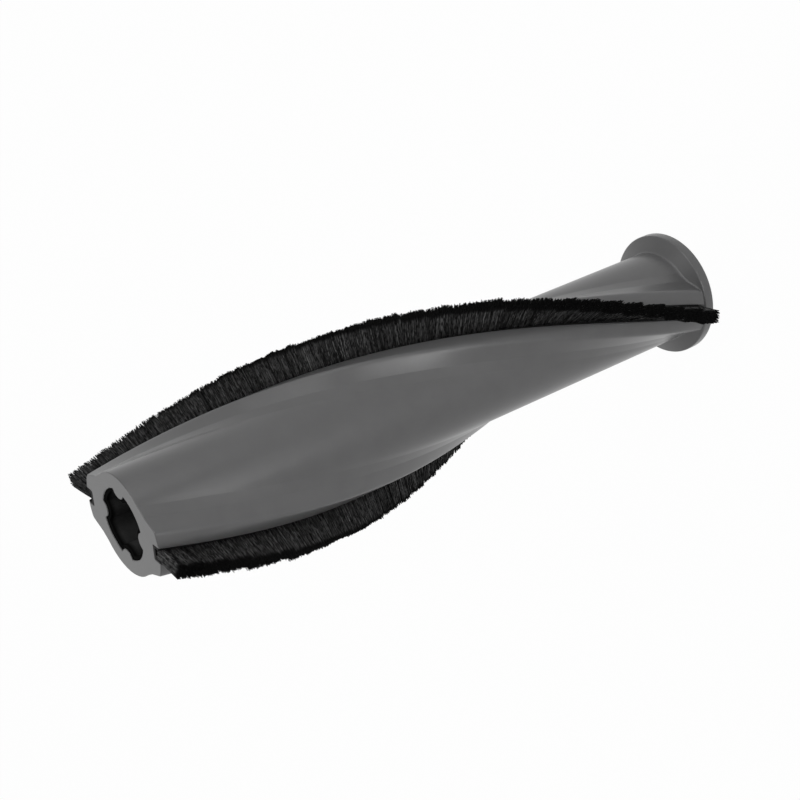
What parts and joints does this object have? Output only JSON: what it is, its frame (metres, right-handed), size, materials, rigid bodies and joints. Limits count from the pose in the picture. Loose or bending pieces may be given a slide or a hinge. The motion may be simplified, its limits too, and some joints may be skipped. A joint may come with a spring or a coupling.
{
  "type": "vacuum roller brush",
  "caption": "Grey hollow roller with helical ribs that carry black bristle strips, a ribbed drive socket at one end and a flange with a plain bearing at the other.",
  "frame": {"origin": "centre of the flange's outer face, on the roller's axis", "axes": "+Z along the roller's axis from the flange to the drive socket; the ribs cross the X axis at both ends"},
  "size_m": [0.0336, 0.0336, 0.123],
  "materials": {
    "grey_moulding": "satin moulded plastic",
    "black_rubber": "matt",
    "black_plastic": "matt",
    "bristle": "fine nylon filaments",
    "bronze": "sintered",
    "steel": "ground"
  },
  "bodies": {
    "roller": {"roller_body": "grey_moulding", "drive_liner": "black_rubber", "strip_carrier_a": "black_plastic", "strip_carrier_b": "black_plastic", "bristles_a": "bristle", "bristles_b": "bristle", "bearing_bush": "bronze"},
    "axle_sleeve": {"axle_sleeve": "steel", "retaining_clip": "steel"}
  },
  "joints": [
    {"name": "roller_spin", "type": "hinge", "parent": "roller", "child": "axle_sleeve", "pos_m": [0, 0, 0.005], "axis": [0, 0, 1], "continuous": true}
  ]
}
